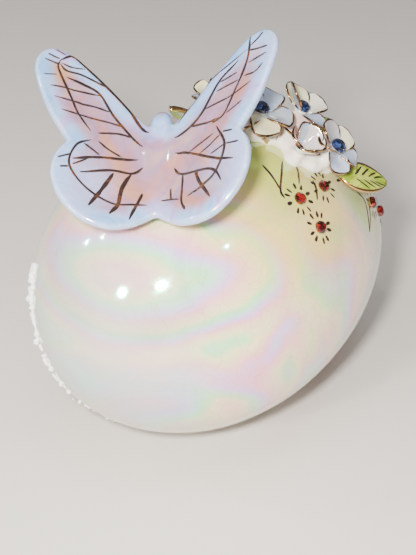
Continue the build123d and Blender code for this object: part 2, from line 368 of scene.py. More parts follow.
def cut_below(bm, height):
    """Takes away everything under a height."""
    geometry = bm.verts[:] + bm.edges[:] + bm.faces[:]
    bmesh.ops.bisect_plane(bm, geom=geometry, plane_co=(0, 0, height), plane_no=(0, 0, -1),
                           clear_outer=True)


def new_edge(bm, edges):
    """Extrudes open edges; returns the new vertices and the new open edges."""
    grown = bmesh.ops.extrude_edge_only(bm, edges=edges)["geom"]
    verts = [item for item in grown if isinstance(item, bmesh.types.BMVert)]
    return verts, [item for item in grown if isinstance(item, bmesh.types.BMEdge) and item.is_boundary]


def rounded(piece):
    """One level of subdivision on a piece."""
    modifier = piece.modifiers.new("Round", "SUBSURF")
    modifier.levels = 1
    modifier.render_levels = 1


def stroke_mesh(lines, end=0.4, bulge=0.06 * MM):
    """Brush strokes: shallow ridges of paint, each along its own points with outward directions."""
    bm = bmesh.new()
    rng = random.Random(5)
    for width, points in lines:
        last = len(points) - 1
        phase = rng.uniform(0, 9)
        for vert in bmesh.ops.create_grid(bm, x_segments=last, y_segments=4, size=1)["verts"]:
            share = (vert.co.x + 1) / 2
            across = vert.co.y
            index = round(share * last)
            place, outward = points[index]
            ahead = points[min(index + 1, last)][0] - points[max(index - 1, 0)][0]
            side = outward.cross(ahead).normalized()
            taper = min(1.0, end + 5 * min(share, 1 - share))
            reach = width * MM / 2 * taper * (1 + 0.3 * noise.noise(Vector((share * 6, phase, 0))))
            vert.co = place + side * across * reach + outward * bulge * (1.3 - 1.6 * across ** 2)
    return to_mesh(bm)


# ---- materials ----------------------------------------------------------------------------------
class Glaze:
    """A material's node tree with short ways to add nodes."""

    def __init__(self, name, **values):
        self.material = bpy.data.materials.new(name)
        self.material.use_nodes = True
        self.tree = self.material.node_tree
        self.shader = self.tree.nodes["Principled BSDF"]
        self.where = self.add("ShaderNodeTexCoord").outputs["Object"]
        self.set(**values)

    def plug(self, socket, value):
        if isinstance(value, bpy.types.NodeSocket):
            self.tree.links.new(value, socket)
        elif isinstance(value, tuple) and len(value) == 3 and socket.type == "RGBA":
            socket.default_value = (*value, 1)
        else:
            socket.default_value = value

    def set(self, **values):
        for name, value in values.items():
            self.plug(self.shader.inputs[name.replace("_", " ")], value)

    def add(self, kind, inputs=None, **settings):
        node = self.tree.nodes.new(kind)
        for name, value in settings.items():
            setattr(node, name, value)
        for name, value in (inputs or {}).items():
            self.plug(node.inputs[name], value)
        return node

    def attribute(self, name):
        return self.add("ShaderNodeAttribute", attribute_name=name).outputs["Fac"]

    def axis(self, letter):
        return self.add("ShaderNodeSeparateXYZ", {0: self.where}).outputs[letter]

    def noise(self, scale, detail=3.0, distortion=0.0, roughness=0.5):
        inputs = {"Vector": self.where, "Scale": scale, "Detail": detail, "Distortion": distortion,
                  "Roughness": roughness}
        return self.add("ShaderNodeTexNoise", inputs).outputs["Fac"]

    def cracks(self, scale):
        inputs = {"Vector": self.where, "Scale": scale}
        return self.add("ShaderNodeTexVoronoi", inputs, feature="DISTANCE_TO_EDGE").outputs["Distance"]

    def maths(self, operation, first, second=0.0):
        return self.add("ShaderNodeMath", {0: first, 1: second}, operation=operation).outputs[0]

    def vector(self, operation, first, second, output):
        return self.add("ShaderNodeVectorMath", {0: first, 1: second}, operation=operation).outputs[output]

    def fade(self, value, low, high, at_low=0.0, at_high=1.0):
        inputs = {"Value": value, "From Min": low, "From Max": high, "To Min": at_low, "To Max": at_high}
        return self.add("ShaderNodeMapRange", inputs, interpolation_type="SMOOTHSTEP").outputs["Result"]

    def near(self, place, inner, outer):
        """1 within the inner distance of a place, 0 beyond the outer one."""
        return self.fade(self.vector("DISTANCE", self.where, tuple(place), "Value"), inner, outer, 1.0, 0.0)

    def ramp(self, value, *stops):
        node = self.add("ShaderNodeValToRGB", {"Fac": value})
        points = node.color_ramp.elements
        while len(points) < len(stops):
            points.new(1.0)
        for point, (place, colour) in zip(points, stops):
            point.position = place
            point.color = (*colour, 1)
        return node.outputs["Color"]

    def mix(self, share, first, second, blend="MIX"):
        node = self.add("ShaderNodeMix", data_type="RGBA", blend_type=blend)
        self.plug(node.inputs["Factor"], share)
        self.plug(node.inputs[6], first)
        self.plug(node.inputs[7], second)
        return node.outputs[2]

    def bump(self, height, distance, strength=1.0):
        inputs = {"Height": height, "Distance": distance, "Strength": strength}
        self.set(Normal=self.add("ShaderNodeBump", inputs).outputs["Normal"])


PINK = (0.95, 0.45, 0.52)
PEACH = (0.92, 0.66, 0.46)
YELLOW = (0.86, 0.80, 0.42)
GREEN = (0.41, 0.86, 0.42)
AQUA = (0.50, 0.74, 0.70)
LILAC = (0.70, 0.48, 0.88)
IVORY = (0.88, 0.74, 0.64)


LEAF_GREEN = (0.50, 0.56, 0.07)
OCHRE = (0.62, 0.44, 0.16)
# Airbrushed patches under the flowers: along, degrees round, inner and outer reach, strength, colour.
AIRBRUSH = [(1, 30, 4, 16, 0.95, LEAF_GREEN), (14, 44, 2, 12, 0.4, LEAF_GREEN),
            (27, 57, 4, 17, 0.9, LEAF_GREEN), (10, 15, 8, 22, 0.7, LEAF_GREEN),
            (-3, 38, 2, 10, 0.5, LEAF_GREEN), (9, 36, 2, 9, 0.75, OCHRE)]
# Middle of the lustre's rings, along and degrees round, and how much they are squashed each way.
RINGS = (-42, 18)
SQUASH = Vector((0.7, 0.7, 2.2))


def lustre_glaze():
    """White porcelain under a pearl lustre: soft rings at the blunt end, loose bands beyond, and painted
    shade darkening both ends and the bottom.
    """
    glaze = Glaze("lustre_glaze", Coat_Weight=1.0, Coat_Roughness=0.02, IOR=1.5)
    wander = glaze.noise(24, 1.6, 1.1)
    drifting = glaze.maths("ADD", glaze.maths("MULTIPLY", wander, 4.6),
                           glaze.maths("MULTIPLY", glaze.axis("Z"), 30))
    squashed = glaze.vector("MULTIPLY", glaze.where, tuple(SQUASH), "Vector")
    middle = on_egg(*RINGS)[0]
    away = glaze.vector("DISTANCE", squashed, tuple(a * b for a, b in zip(middle, SQUASH)), "Value")
    rings = glaze.maths("MULTIPLY", glaze.maths("MAXIMUM", away, 0.005), 83)
    uneven = glaze.maths("MULTIPLY", glaze.maths("SUBTRACT", wander, 0.1), 1.6)
    ringed = glaze.fade(away, 0.024, 0.042, 1.0, 0.0)
    shift = glaze.maths("MULTIPLY", ringed,
                        glaze.maths("SUBTRACT", glaze.maths("ADD", rings, uneven), drifting))
    ripple = glaze.maths("FRACT", glaze.maths("ADD", drifting, shift))
    bands = glaze.ramp(ripple, (0.0, PINK), (0.18, PEACH), (0.36, YELLOW), (0.52, GREEN), (0.66, AQUA),
                       (0.82, LILAC), (1.0, PINK))
    busy = glaze.near(on_egg(-34, 45)[0], 0.018, 0.055)
    strength = glaze.maths("ADD", glaze.noise(22, 2), glaze.maths("MULTIPLY", busy, 0.45))
    share = glaze.fade(strength, 0.3, 0.8, 0.4, 1.0)
    colour = glaze.mix(share, IVORY, bands)
    # Painted shade: brown darkening towards the narrow end's limb.
    narrow_end_shade = glaze.fade(glaze.axis("X"), 0.016, 0.05, 0.0, 0.85)
    colour = glaze.mix(narrow_end_shade, colour, (0.42, 0.30, 0.18))
    # Painted shade: grey-green darkening towards the blunt end's limb.
    blunt_end_shade = glaze.fade(glaze.axis("X"), -0.026, -0.05, 0.0, 0.75)
    colour = glaze.mix(blunt_end_shade, colour, (0.42, 0.46, 0.42))
    # Painted shade: brown darkening towards the bottom, where the egg sits close to the floor.
    low = glaze.fade(glaze.axis("Z"), 0.022, 0.002, 0.0, 0.9)
    colour = glaze.mix(low, colour, (0.48, 0.28, 0.15))
    sunny = glaze.near(on_egg(-3, 42)[0], 0.008, 0.030)
    colour = glaze.mix(glaze.maths("MULTIPLY", sunny, 0.85), colour, (0.78, 0.60, 0.14))
    blush = glaze.noise(60, 3)
    for along, around, inner, outer, strength, tint in AIRBRUSH:
        patch = glaze.near(on_egg(along, around)[0], inner * MM, outer * MM)
        uneven = glaze.fade(blush, 0.2, 0.8, strength * 0.6, strength)
        colour = glaze.mix(glaze.maths("MULTIPLY", patch, uneven), colour, tint)
    craze = glaze.fade(glaze.cracks(300), 0.0, 0.035, 1.0, 0.0)
    colour = glaze.mix(glaze.maths("MULTIPLY", craze, 0.4), colour, (0.50, 0.42, 0.33))
    glaze.set(Base_Color=colour, Thin_Film_Thickness=glaze.fade(glaze.noise(20, 2, 0.6), 0.3, 0.7, 330, 560),
              Thin_Film_IOR=1.9)
    glaze.set(Roughness=glaze.fade(glaze.noise(900, 2), 0.3, 0.7, 0.07, 0.13))
    glaze.bump(glaze.noise(70, 3), 0.00003)
    return glaze.material


def dish_glaze():
    """Clear glaze over white porcelain, wiped off the flat underside."""
    glaze = Glaze("dish_glaze", Coat_Weight=1.0, Coat_Roughness=0.04, IOR=1.5)
    height = glaze.maths("ADD", glaze.axis("Z"), glaze.maths("MULTIPLY", glaze.noise(300, 4), 0.0008))
    bare = glaze.fade(height, 0.0006, 0.0012, 1.0, 0.0)
    white = glaze.mix(glaze.noise(35, 3), (0.84, 0.80, 0.72), (0.88, 0.86, 0.82))
    speck = glaze.fade(glaze.noise(2200, 2), 0.66, 0.74)
    biscuit = glaze.mix(speck, (0.76, 0.71, 0.63), (0.42, 0.34, 0.26))
    glaze.set(Base_Color=glaze.mix(bare, white, biscuit), Roughness=glaze.fade(bare, 0, 1, 0.14, 0.75),
              Coat_Weight=glaze.fade(bare, 0, 1, 1.0, 0.0))
    glaze.bump(glaze.noise(1400, 3), 0.00005, 0.6)
    return glaze.material


def wing_glaze(own):
    """Translucent porcelain with a pale blue margin and a pink and lilac middle, the middle darkened as
    painted shade.
    """
    glaze = Glaze("wing_glaze", Roughness=0.15, Coat_Weight=1.0, Coat_Roughness=0.03, IOR=1.55,
                  Subsurface_Weight=0.2, Subsurface_Scale=0.002)
    drift = glaze.noise(120, 3, 0.8)
    inside = glaze.maths("ADD", glaze.attribute("inside"), glaze.maths("MULTIPLY", drift, 0.25))
    # Pink and lilac middle, its colours darkened as painted shade of each wing's dished middle.
    middle = glaze.ramp(glaze.noise(75, 2.5, 1.2), (0.30, (0.42, 0.22, 0.12)), (0.44, (0.40, 0.18, 0.17)),
                        (0.56, (0.29, 0.18, 0.28)), (0.70, (0.40, 0.24, 0.24)))
    margin = glaze.ramp(drift, (0.28, (0.16, 0.34, 0.66)), (0.48, (0.28, 0.42, 0.70)),
                        (0.6, (0.37, 0.33, 0.63)), (0.75, (0.22, 0.26, 0.60)))
    colour = glaze.mix(glaze.fade(inside, 0.34, 0.8), margin, middle)
    for ahead, aside in PALE_PATCHES:
        pale = glaze.near(butterfly_seat(own) @ (Vector((ahead, aside, 6)) * MM), 0.003, 0.012)
        colour = glaze.mix(glaze.maths("MULTIPLY", pale, 0.65), colour, (0.34, 0.44, 0.74))
    edge = glaze.fade(glaze.attribute("inside"), 0.0, 0.09, 1.0, 0.0)
    colour = glaze.mix(glaze.maths("MULTIPLY", edge, 0.4), colour, (0.56, 0.64, 0.76))
    glaze.set(Base_Color=colour, Thin_Film_Thickness=glaze.fade(glaze.noise(90, 2, 0.7), 0.3, 0.7, 300, 520),
              Thin_Film_IOR=1.9, Subsurface_Radius=(1.0, 0.8, 0.7))
    glaze.bump(glaze.noise(260, 3), 0.00009)
    return glaze.material


def brush_lustre():
    """Dark brown painted lustre that thins out to bronze."""
    glaze = Glaze("brush_lustre", Coat_Weight=0.6, Coat_Roughness=0.05)
    thin = glaze.fade(glaze.noise(420, 4, 0.5), 0.52, 0.70)
    glaze.set(Base_Color=glaze.mix(thin, (0.020, 0.011, 0.009), (0.15, 0.06, 0.025)),
              Metallic=glaze.fade(thin, 0, 1, 0.1, 0.6), Roughness=glaze.fade(thin, 0, 1, 0.32, 0.25))
    glaze.bump(glaze.noise(2600, 2), 0.00004)
    return glaze.material


def petal_glaze():
    """Pale tinted glaze with a line of gold lustre round each petal."""
    glaze = Glaze("petal_glaze", Coat_Weight=1.0, Coat_Roughness=0.03, IOR=1.55,
                  Subsurface_Weight=0.2, Subsurface_Scale=0.002)
    tint = glaze.ramp(glaze.attribute("tint"), (0.0, (0.62, 0.58, 0.34)), (0.12, (0.62, 0.60, 0.52)),
                      (0.5, (0.64, 0.44, 0.42)), (0.8, (0.30, 0.32, 0.36)), (1.0, (0.30, 0.40, 0.62)))
    shade = glaze.mix(glaze.fade(glaze.noise(420, 3), 0.3, 0.7, 0.0, 0.25), tint, (0.66, 0.66, 0.62))
    ragged = glaze.maths("ADD", glaze.attribute("rim"), glaze.maths("MULTIPLY", glaze.noise(700, 3), 0.16))
    gold = glaze.fade(ragged, 0.90, 0.95)
    bronze = glaze.mix(glaze.fade(glaze.noise(900, 3), 0.35, 0.65), (0.09, 0.045, 0.03), (0.62, 0.36, 0.15))
    glaze.set(Base_Color=glaze.mix(gold, shade, bronze), Metallic=gold,
              Roughness=glaze.fade(gold, 0, 1, 0.14, 0.2))
    glaze.bump(glaze.noise(650, 3), 0.00008)
    return glaze.material


def slip_glaze():
    """Thick white slip under clear glaze, with a faint pink flush here and there."""
    glaze = Glaze("slip_glaze", Roughness=0.18, Coat_Weight=1.0, Coat_Roughness=0.05, IOR=1.5,
                  Subsurface_Weight=0.15, Subsurface_Scale=0.002)
    flush = glaze.ramp(glaze.noise(160, 3, 0.6), (0.3, (0.94, 0.90, 0.82)), (0.55, (0.93, 0.86, 0.76)),
                       (0.72, (0.92, 0.76, 0.72)))
    gold = glaze.fade(glaze.noise(260, 3, 0.4), 0.665, 0.70)
    glaze.set(Base_Color=glaze.mix(gold, flush, (0.55, 0.36, 0.14)), Metallic=glaze.fade(gold, 0, 1, 0, 0.7))
    glaze.bump(glaze.noise(420, 4), 0.00022)
    return glaze.material


def leaf_glaze():
    """Yellow-green glaze, unevenly darker and lighter, with a gold edge."""
    glaze = Glaze("leaf_glaze", Coat_Weight=1.0, Coat_Roughness=0.03, IOR=1.5,
                  Subsurface_Weight=0.15, Subsurface_Scale=0.002)
    green = glaze.ramp(glaze.noise(240, 3), (0.3, (0.17, 0.26, 0.01)), (0.5, (0.28, 0.37, 0.02)),
                       (0.7, (0.48, 0.54, 0.09)))
    ragged = glaze.maths("ADD", glaze.attribute("rim"), glaze.maths("MULTIPLY", glaze.noise(800, 3), 0.14))
    gold = glaze.fade(ragged, 0.88, 0.94)
    glaze.set(Base_Color=glaze.mix(gold, green, (0.60, 0.36, 0.12)), Metallic=gold,
              Roughness=glaze.fade(gold, 0, 1, 0.14, 0.2))
    glaze.bump(glaze.noise(600, 3), 0.00008)
    return glaze.material


def cut_glass(name, dark, lit_facet, painted_glint):
    """Foil-backed cut glass: each small cell of the foil is painted darker or lighter, with painted glints on
    the brightest, standing in for the light each facet throws.
    """
    glaze = Glaze(name, Metallic=0.55, Roughness=0.07, Coat_Weight=1.0, Coat_Roughness=0.01, IOR=1.6)
    inputs = {"Vector": glaze.where, "Scale": 1500.0}
    cell = glaze.add("ShaderNodeTexVoronoi", inputs).outputs["Color"]
    value = glaze.add("ShaderNodeSeparateColor", {0: cell}).outputs[0]
    # Painted light: cells shaded dark, lit lighter and painted with glints, as the foil's facets would throw
    # the light.
    glaze.set(Base_Color=glaze.ramp(value, (0.0, dark), (0.65, lit_facet), (0.95, painted_glint)))
    glaze.bump(value, 0.00012, 0.8)
    return glaze.material


def bead_glaze():
    """Dry white slip, crumbly and unglazed."""
    glaze = Glaze("bead_glaze", Roughness=0.65)
    glaze.set(Base_Color=glaze.mix(glaze.noise(900, 4), (0.80, 0.79, 0.76), (0.93, 0.92, 0.90)))
    glaze.bump(glaze.noise(1500, 4), 0.0002)
    return glaze.material


# ---- the box ------------------------------------------------------------------------------------
class TRINKET_OT_lid(bpy.types.Operator):
    """Hollow egg that lifts off the dish."""
    bl_idname = "trinket.lid"
    bl_label = "Egg lid"

    def execute(self, context):
        own = context.scene.trinket_egg
        bm = bmesh.new()
        egg_form(bm, 0.0, own.segments)
        cut_below(bm, SEAM + own.rim)
        egg_form(bm, own.wall, own.segments)
        cut_below(bm, SEAM + own.rim)
        for vert in new_edge(bm, [edge for edge in bm.edges if edge.is_boundary])[0]:
            flat = Vector((vert.co.x, vert.co.y, 0))
            drawn_in = RIM_SHARE * own.rim / flat.length
            share = 1 - drawn_in if self.outer(vert.co, own) else 1 + drawn_in
            vert.co = Vector((flat.x * share, flat.y * share, SEAM))
        rims = [edge for edge in bm.edges if edge.is_boundary]
        bmesh.ops.bridge_loops(bm, edges=rims)
        link("egg_lid", to_mesh(bm), lustre_glaze(), "lustre_porcelain", "lid", "lid_shell")
        return {"FINISHED"}

    @staticmethod
    def outer(place, own):
        """True on the outer surface at the rim."""
        offset = place - EGG_CENTRE
        half = own.wall / 2
        size = Vector((offset.x / (egg_scale(offset.x) - half), offset.y / (EGG_RADIUS - half),
                       offset.z / (EGG_RADIUS - half)))
        return size.length > 1


class TRINKET_OT_dish(bpy.types.Operator):
    """Shallow dish under the egg, with the ring that locates the lid."""
    bl_idname = "trinket.dish"
    bl_label = "Dish"

    def execute(self, context):
        own = context.scene.trinket_egg
        ring_top = DISH_HIGH.z
        mouth = own.wall + own.ring_gap
        inner = mouth + own.ring_wall
        soft = own.rim
        sections = [(0.0, soft * 2, 0.0), (0.0, 0.0, soft)]
        sections += [(0.0, 0.0, SEAM * share) for share in (0.3, 0.5, 0.7, 0.9)]
        sections += [(0.0, soft * 0.4, SEAM), (mouth, 0.0, SEAM), (mouth, 0.0, ring_top - soft),
                     (mouth, soft, ring_top), (inner, -soft, ring_top), (inner, 0.0, ring_top - soft),
                     (inner, 0.0, own.dish_floor + 2.5 * MM), (inner, 0.7 * MM, own.dish_floor + 1.0 * MM),
                     (inner, 2.5 * MM, own.dish_floor)]
        bm = bmesh.new()
        bmesh.ops.create_circle(bm, segments=own.segments, radius=1, cap_ends=True)
        unit = {vert: vert.co.copy() for vert in bm.verts}
        edges = bm.edges[:]
        self.place(unit, sections[0], own.wall)
        for section in sections[1:]:
            verts, edges = new_edge(bm, edges)
            fresh = {}
            for vert in verts:
                below = [edge.other_vert(vert) for edge in vert.link_edges]
                fresh[vert] = next(unit[other] for other in below if other in unit)
            unit = fresh
            self.place(unit, section, own.wall)
        bmesh.ops.holes_fill(bm, edges=edges, sides=own.segments)
        dish = link("dish", to_mesh(bm), dish_glaze(), "dish_porcelain", "dish", "base_dish")
        dish.data.polygons.foreach_set("use_smooth", [len(face.vertices) < 5 for face in dish.data.polygons])
        return {"FINISHED"}

    @staticmethod
    def place(unit, section, wall):
        """Puts a ring of unit points on the egg's level section at a height, under an inset and a gap.

        Above the seam the section is that of the lid's inner face at the seam.
        """
        inset, gap, height = section
        inner = wall if inset else 0.0
        level = SEAM if inset else height
        share = sqrt(1 - ((EGG_CENTRE.z - level) / (EGG_RADIUS - inner)) ** 2)
        spare = inset - inner + gap
        for vert, direction in unit.items():
            length = (egg_scale(direction.x) - inner) * share - spare
            width = (EGG_RADIUS - inner) * share - spare
            vert.co = Vector((direction.x * length, direction.y * width, height))


class TRINKET_OT_butterfly(bpy.types.Operator):
    """Butterfly moulded in one piece, its painted veins, and the pad it stands on."""
    bl_idname = "trinket.butterfly"
    bl_label = "Butterfly"

    def execute(self, context):
        own = context.scene.trinket_butterfly
        outline = through(FORE_WING, 8)[:-1] + through(HIND_WING, 8)
        flat = self.flat_form(own, outline)
        surface = BVHTree.FromBMesh(flat)
        fold = self.folding(own)
        inside = flat.verts.layers.float.new("inside")
        for vert in flat.verts:
            vert[inside] = self.depth(vert.co)
        for vert in flat.verts:
            vert.co = fold(vert.co)
        link("butterfly_figure", to_mesh(flat), wing_glaze(own), "wing_porcelain", "lid", "butterfly")
        lines = []
        for side, veins in ((1, LEFT_VEINS), (-1, RIGHT_VEINS)):
            for width, points in veins:
                line = [Vector((x * MM, side * y * MM, 0)) for x, y in through(points, 8)]
                lines.append((width * 1.3, [self.on_wing(surface, fold, place) for place in line]))
        link("wing_veins", stroke_mesh(lines), brush_lustre(), None, "lid")
        self.pad(own)
        return {"FINISHED"}

    def flat_form(self, own, outline):
        """Both wings opened out flat, with the body along the middle, melted together."""
        data = bpy.data.curves.new("wings", "CURVE")
        data.dimensions = "2D"
        data.fill_mode = "BOTH"
        half = own.thickness / 2
        data.bevel_depth = half * 0.8
        data.offset = 0.45 * MM - half * 0.8
        data.extrude = half * 0.2
        data.bevel_resolution = 4
        ring = [Vector((point.x, point.y)) for point in outline]
        ring += [Vector((point.x, -point.y)) for point in reversed(outline[:-1])]
        spline = data.splines.new("POLY")
        spline.points.add(len(ring) - 1)
        spline.use_cyclic_u = True
        for point, place in zip(spline.points, ring):
            point.co = (place.x * MM, place.y * MM, 0, 1)
        bm = bmesh.new()
        bm.from_mesh(evaluated(data))
        self.body(bm)
        mesh = to_mesh(bm)
        self.rim_tree = KDTree(len(ring))
        for index, place in enumerate(ring):
            self.rim_tree.insert((place.x * MM, place.y * MM, 0), index)
        self.rim_tree.balance()
        return softened(evaluated(mesh, voxel=own.voxel), 12)

    def body(self, bm):
        """Plump body with a knob of a head, swelling into the wings."""
        for centre, size in (((-0.5, 0, 0.2), (11.0, 4.2, 2.2)), ((3.0, 0, 0.3), (7.0, 5.2, 2.5)),
                             ((10.4, 0, 0.9), (3.1, 2.8, 2.7)), ((6.5, 0, 0.3), (5.0, 3.6, 2.7))):
            middle = Matrix.Translation(Vector(centre) * MM)
            scale = Matrix.Diagonal(Vector((*size, 1 / MM))) * MM
            bmesh.ops.create_uvsphere(bm, u_segments=48, v_segments=32, radius=1, matrix=middle @ scale)

    def depth(self, place):
        """Share of the way in from the wings' edge, 1 at a fourth of their width."""
        away = self.rim_tree.find((place.x, place.y, 0))[2]
        return min(1.0, away / (7.5 * MM))

    def folding(self, own):
        """Function that raises the flat wings, rolls their rims up and sets the figure on the egg."""
        seated = butterfly_seat(own)

        def fold(place):
            out = sqrt(place.y ** 2 + (2.6 * MM) ** 2) - 2.6 * MM
            depth = self.depth(place)
            dip = 0.6 * MM * depth ** 2 * min(1.0, out / (5 * MM))
            rolled = own.rim * (1 - min(1.0, depth * 1.6)) ** 2 - dip
            swell = 0.35 * MM * noise.noise(Vector((place.x, place.y, 0)) * 95)
            height = place.z + rolled + swell
            side = 1 if place.y > 0 else -1
            across = place.y * cos(own.spread) - side * height * sin(own.spread) * min(1.0, out / (4 * MM))
            up = out * sin(own.spread) + height * cos(own.spread)
            return seated @ Vector((place.x, across, up))

        return fold

    @staticmethod
    def on_wing(surface, fold, place):
        """Point on the folded wing's upper face and the outward direction there."""
        found = surface.ray_cast(place + Vector((0, 0, 20 * MM)), Vector((0, 0, -1)))[0]
        found = found or place
        up = fold(found + Vector((0, 0, 0.5 * MM))) - fold(found)
        return fold(found), up.normalized()

    @staticmethod
    def pad(own):
        """Waisted post of slip between the glaze and the butterfly."""
        bm = bmesh.new()
        bmesh.ops.create_circle(bm, segments=48, radius=6.2 * MM, matrix=Matrix.Translation((0, 0, -9 * MM)))
        edges = bm.edges[:]
        for radius, height in ((5.6, -7.6), (4.9, -6), (4.5, -4), (4.6, -2), (5.2, -0.6)):
            verts, edges = new_edge(bm, edges)
            for vert in verts:
                wobble = 1 + 0.06 * noise.noise(vert.co.normalized() * 3)
                vert.co = Vector((vert.co.x, vert.co.y, 0)).normalized() * radius * MM * wobble
                vert.co.z = height * MM
        bmesh.ops.transform(bm, matrix=butterfly_seat(own), verts=bm.verts)
        rounded(link("butterfly_post", to_mesh(bm), slip_glaze(), "wing_porcelain", "lid", "butterfly_pad"))


class TRINKET_OT_slip(bpy.types.Operator):
    """Bed of lumpy slip that the flowers are pressed into."""
    bl_idname = "trinket.slip"
    bl_label = "Slip bed"

    def execute(self, context):
        bm = bmesh.new()
        for along, around, lift, radius in LUMPS:
            flat = Matrix.Diagonal(Vector((1, 1, 0.6, 1)))
            bmesh.ops.create_uvsphere(bm, u_segments=32, v_segments=20, radius=radius * MM,
                                      matrix=seat(along, around, lift) @ flat)
        for along, around, lift, radius, turn, petals in FLOWERS:
            stem = seat(along, around, lift / 2 - 0.6)
            bmesh.ops.create_cone(bm, segments=24, cap_ends=True, radius1=2.6 * MM, radius2=1.5 * MM,
                                  depth=lift * MM, matrix=stem)
        bed = softened(evaluated(to_mesh(bm), voxel=0.5 * MM), 5)
        for vert in bed.verts:
            vert.co += vert.normal * 0.45 * MM * noise.noise(vert.co * 420)
        link("slip_mound", to_mesh(bed), slip_glaze(), "petal_porcelain", "lid", "slip_bed")
        return {"FINISHED"}


class TRINKET_OT_flowers(bpy.types.Operator):
    """Hand-built flowers with gold-edged petals."""
    bl_idname = "trinket.flowers"
    bl_label = "Flowers"

    def execute(self, context):
        own = context.scene.trinket_flowers
        material = petal_glaze()
        for index, (along, around, lift, radius, turn, petals) in enumerate(FLOWERS, start=1):
            bm = bmesh.new()
            rim = bm.verts.layers.float.new("rim")
            tint = bm.verts.layers.float.new("tint")
            for number, (cup, shade) in enumerate(petals):
                self.petal(bm, rim, tint, own, radius, cup, number, shade)
            hub = Matrix.Diagonal(Vector((1, 1, 0.7, 1)))
            made = bmesh.ops.create_uvsphere(bm, u_segments=24, v_segments=16, radius=own.hub, matrix=hub)
            for vert in made["verts"]:
                vert[tint] = 0.12
                vert[rim] = 0.75 + 0.25 * noise.noise(vert.co * 900)
            bmesh.ops.transform(bm, matrix=seat(along, around, lift, turn), verts=bm.verts)
            rounded(link(f"bloom_{index}", to_mesh(bm), material, "petal_porcelain", "lid",
                         f"flower_{index}"))
        return {"FINISHED"}

    @staticmethod
    def petal(bm, rim, tint, own, radius, cup, number, shade):
        """One thick oval petal, cupped, with a wavy edge."""
        before = set(bm.verts)
        made = bmesh.ops.create_grid(bm, x_segments=own.petal_grid, y_segments=own.petal_grid, size=1)
        faces = {face for vert in made["verts"] for face in vert.link_faces}
        bmesh.ops.solidify(bm, geom=list(faces), thickness=own.petal_thickness)
        length = radius * MM * 0.9
        width = radius * MM * 0.5
        turned = Matrix.Rotation(2 * pi * number / PETALS, 4, "Z") @ Matrix.Rotation(-radians(cup), 4, "Y")
        rng = random.Random(number * 7 + int(radius * 10) + int(cup))
        wave = rng.uniform(0, 2 * pi)
        for vert in (vert for vert in bm.verts if vert not in before):
            x, y, z = vert.co
            vert[rim] = max(abs(x), abs(y)) if x > -0.5 else abs(y) * 0.9
            vert[tint] = shade
            along = x * sqrt(1 - y * y / 2)
            across = y * sqrt(1 - x * x / 2)
            edge = min(1.0, along ** 2 + across ** 2)
            ruffle = 0.3 * MM * edge * sin(across * 2.4 + wave) * (1 + along)
            hollow = MM * (across ** 2 + 0.2 * (1 + along) ** 2) - 0.5 * MM * edge * max(0.0, along)
            thin = 1 - 0.35 * edge
            place = Vector((length * (1 + along) / 2 + 0.5 * MM, width * across * (0.9 + 0.1 * along),
                            z * thin + hollow + ruffle))
            vert.co = turned @ place


class TRINKET_OT_leaves(bpy.types.Operator):
    """Porcelain leaves with painted veins."""
    bl_idname = "trinket.leaves"
    bl_label = "Leaves"

    def execute(self, context):
        material = leaf_glaze()
        lines = []
        for index, (root, tip, half_width) in enumerate(LEAVES, start=1):
            start, outward = on_egg(*root)
            end, _ = on_egg(*tip)
            forward = (end - start).normalized()
            side = outward.cross(forward).normalized()
            axes = Matrix((forward, side, forward.cross(side))).transposed().to_4x4()
            placed = Matrix.Translation(start) @ axes
            length = (end - start).length
            bm = bmesh.new()
            rim = bm.verts.layers.float.new("rim")
            bmesh.ops.create_grid(bm, x_segments=24, y_segments=12, size=1)
            bmesh.ops.solidify(bm, geom=bm.faces[:], thickness=1.0 * MM)
            for vert in bm.verts:
                x, y, z = vert.co
                vert[rim] = max(abs(y), max(0.0, x - 0.55) * 2.1)
                vert.co = placed @ (self.blade(x, y, length, half_width * MM) + Vector((0, 0, z)))
            link(f"leaf_blade_{index}", to_mesh(bm), material, "leaf_glaze", "lid", f"leaf_{index}")
            top = (placed.to_3x3() @ Vector((0, 0, 1))).normalized()
            for share in (-0.45, -0.15, 0.15, 0.4):
                for flank in (1, -1):
                    line = [self.blade(share + 0.4 * step, flank * (0.14 + 0.62 * step), length,
                                       half_width * MM) for step in (0.0, 0.2, 0.4, 0.6, 0.8, 1.0)]
                    lines.append((0.6, [(placed @ point, top) for point in line]))
        link("leaf_veins", stroke_mesh(lines), brush_lustre(), None, "lid")
        return {"FINISHED"}

    @staticmethod
    def blade(x, y, length, half_width):
        """Point of a pointed oval leaf, folded a little along its midrib and curling down at the tip."""
        reach = (1 + x) / 2
        outline = sin(pi * reach ** 0.85) ** 0.75 if 0 < reach < 1 else 0.0
        across = y * half_width * max(outline, 0.06)
        fold = 0.16 * abs(across) + 0.25 * MM * sin(5 * reach + 2 * y)
        return Vector((reach * length, across, fold - 0.9 * MM * reach ** 3 + 0.5 * MM))


